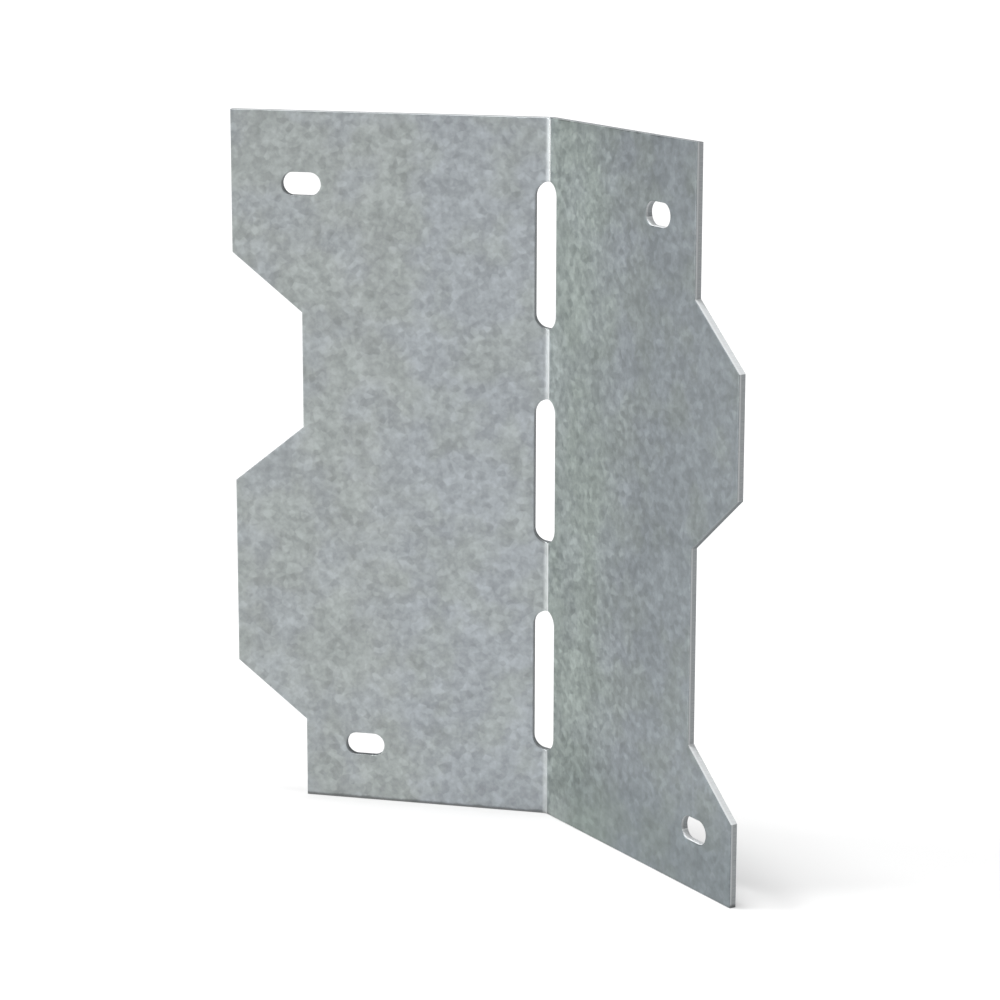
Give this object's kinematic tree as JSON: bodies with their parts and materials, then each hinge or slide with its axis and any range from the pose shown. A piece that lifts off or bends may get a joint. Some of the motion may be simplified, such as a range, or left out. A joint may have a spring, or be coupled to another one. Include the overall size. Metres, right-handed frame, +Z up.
{
  "type": "skewable angle",
  "caption": "Folded galvanised sheet angle for joining timbers at a skew, with stepped side edges, relief slots along the fold and round-ended nail slots near the ends.",
  "frame": {"origin": "foot of the fold, where the inner faces of the two wings would meet if the fold were sharp", "axes": "+Z up along the fold; +Y out of the left wing's outer face; -X along the left wing away from the fold"},
  "size_m": [0.0984, 0.0417, 0.1238],
  "materials": {
    "galvanised_sheet": "satin"
  },
  "bodies": {
    "root": {"angle_plate": "galvanised_sheet"}
  },
  "joints": []
}
